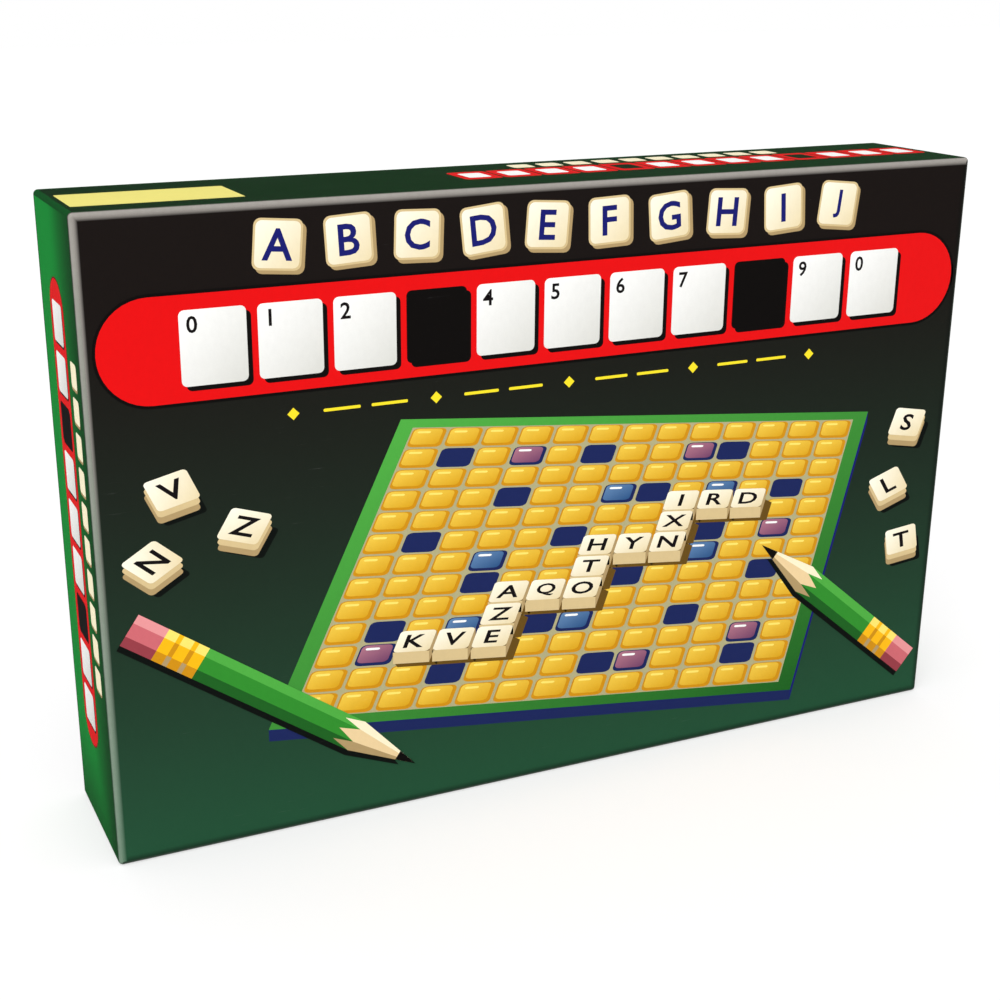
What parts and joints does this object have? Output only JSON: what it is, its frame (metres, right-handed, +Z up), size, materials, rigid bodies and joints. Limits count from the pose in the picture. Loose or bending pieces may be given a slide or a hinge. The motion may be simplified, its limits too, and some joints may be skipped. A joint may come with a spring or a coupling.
{
  "type": "travel crossword board game",
  "caption": "Telescoping card game box with a dome-studded crossword board, score-keeping letter racks and clip-on letter tiles packed in formed trays.",
  "frame": {"origin": "middle of the long side that the closed box stands on", "axes": "+X along the box's width, +Y from the printed front to the back, +Z up"},
  "size_m": [0.26, 0.044, 0.17],
  "materials": {
    "lid_print": "gloss-laminated print",
    "base_wrap": "dark paper wrap",
    "tray_sheet": "formed sheet",
    "leaflet_paper": "folded paper",
    "frame_plastic": "moulded",
    "board_print": "printed card",
    "clear_plastic": "clear moulded",
    "tile_plastic": "ivory moulded",
    "rack_plastic": "moulded",
    "strip_plastic": "plain strip",
    "pointer_plastic": "moulded"
  },
  "bodies": {
    "base": {"base_box": "base_wrap", "board_platform": "tray_sheet", "rack_tray": "tray_sheet"},
    "tile_set": {"tile_tray": "tray_sheet", "tray_tiles_layer_1": "tile_plastic", "tray_tiles_layer_2": "tile_plastic", "tray_tiles_layer_3": "tile_plastic"},
    "rack_1": {"rack_1": "rack_plastic", "rack_1_slot_strip": "strip_plastic"},
    "rack_2": {"rack_2": "rack_plastic", "rack_2_slot_strip": "strip_plastic"},
    "rack_3": {"rack_3": "rack_plastic", "rack_3_slot_strip": "strip_plastic"},
    "rack_4": {"rack_4": "rack_plastic", "rack_4_slot_strip": "strip_plastic"},
    "leaflet": {"rules_leaflet": "leaflet_paper"},
    "board": {"board_frame": "frame_plastic", "board_card": "board_print", "dome_sheet": "clear_plastic"},
    "tiles_in_play": {"board_tiles": "tile_plastic"},
    "lid": {"lid": "lid_print"},
    "rack_1_hundreds": {"rack_1_hundreds_pointer": "pointer_plastic"},
    "rack_1_tens": {"rack_1_tens_pointer": "pointer_plastic"},
    "rack_1_units": {"rack_1_units_pointer": "pointer_plastic"},
    "rack_2_hundreds": {"rack_2_hundreds_pointer": "pointer_plastic"},
    "rack_2_tens": {"rack_2_tens_pointer": "pointer_plastic"},
    "rack_2_units": {"rack_2_units_pointer": "pointer_plastic"},
    "rack_3_hundreds": {"rack_3_hundreds_pointer": "pointer_plastic"},
    "rack_3_tens": {"rack_3_tens_pointer": "pointer_plastic"},
    "rack_3_units": {"rack_3_units_pointer": "pointer_plastic"},
    "rack_4_hundreds": {"rack_4_hundreds_pointer": "pointer_plastic"},
    "rack_4_tens": {"rack_4_tens_pointer": "pointer_plastic"},
    "rack_4_units": {"rack_4_units_pointer": "pointer_plastic"}
  },
  "joints": [
    {"name": "tile_set_lift", "type": "slide", "parent": "base", "child": "tile_set", "axis": [0, -1, 0], "range_m": [0, 0.05]},
    {"name": "rack_1_lift", "type": "slide", "parent": "tile_set", "child": "rack_1", "axis": [0, -1, 0], "range_m": [0, 0.04]},
    {"name": "rack_2_lift", "type": "slide", "parent": "rack_1", "child": "rack_2", "axis": [0, -1, 0], "range_m": [0, 0.04]},
    {"name": "rack_3_lift", "type": "slide", "parent": "rack_2", "child": "rack_3", "axis": [0, -1, 0], "range_m": [0, 0.04]},
    {"name": "rack_4_lift", "type": "slide", "parent": "rack_3", "child": "rack_4", "axis": [0, -1, 0], "range_m": [0, 0.04]},
    {"name": "leaflet_lift", "type": "slide", "parent": "rack_4", "child": "leaflet", "axis": [0, -1, 0], "range_m": [0, 0.04]},
    {"name": "board_lift", "type": "slide", "parent": "leaflet", "child": "board", "axis": [0, -1, 0], "range_m": [0, 0.04]},
    {"name": "tiles_in_play_lift", "type": "slide", "parent": "board", "child": "tiles_in_play", "axis": [0, -1, 0], "range_m": [0, 0.02]},
    {"name": "lid_lift", "type": "slide", "parent": "tiles_in_play", "child": "lid", "axis": [0, -1, 0], "range_m": [0, 0.12]},
    {"name": "rack_1_hundreds_slide", "type": "slide", "parent": "rack_1", "child": "rack_1_hundreds", "axis": [1, 0, 0], "range_m": [0, 0.0153]},
    {"name": "rack_1_tens_slide", "type": "slide", "parent": "rack_1", "child": "rack_1_tens", "axis": [1, 0, 0], "range_m": [0, 0.0153]},
    {"name": "rack_1_units_slide", "type": "slide", "parent": "rack_1", "child": "rack_1_units", "axis": [1, 0, 0], "range_m": [0, 0.0153]},
    {"name": "rack_2_hundreds_slide", "type": "slide", "parent": "rack_2", "child": "rack_2_hundreds", "axis": [1, 0, 0], "range_m": [0, 0.0153]},
    {"name": "rack_2_tens_slide", "type": "slide", "parent": "rack_2", "child": "rack_2_tens", "axis": [1, 0, 0], "range_m": [0, 0.0153]},
    {"name": "rack_2_units_slide", "type": "slide", "parent": "rack_2", "child": "rack_2_units", "axis": [1, 0, 0], "range_m": [0, 0.0153]},
    {"name": "rack_3_hundreds_slide", "type": "slide", "parent": "rack_3", "child": "rack_3_hundreds", "axis": [1, 0, 0], "range_m": [0, 0.0153]},
    {"name": "rack_3_tens_slide", "type": "slide", "parent": "rack_3", "child": "rack_3_tens", "axis": [1, 0, 0], "range_m": [0, 0.0153]},
    {"name": "rack_3_units_slide", "type": "slide", "parent": "rack_3", "child": "rack_3_units", "axis": [1, 0, 0], "range_m": [0, 0.0153]},
    {"name": "rack_4_hundreds_slide", "type": "slide", "parent": "rack_4", "child": "rack_4_hundreds", "axis": [1, 0, 0], "range_m": [0, 0.0153]},
    {"name": "rack_4_tens_slide", "type": "slide", "parent": "rack_4", "child": "rack_4_tens", "axis": [1, 0, 0], "range_m": [0, 0.0153]},
    {"name": "rack_4_units_slide", "type": "slide", "parent": "rack_4", "child": "rack_4_units", "axis": [1, 0, 0], "range_m": [0, 0.0153]}
  ]
}
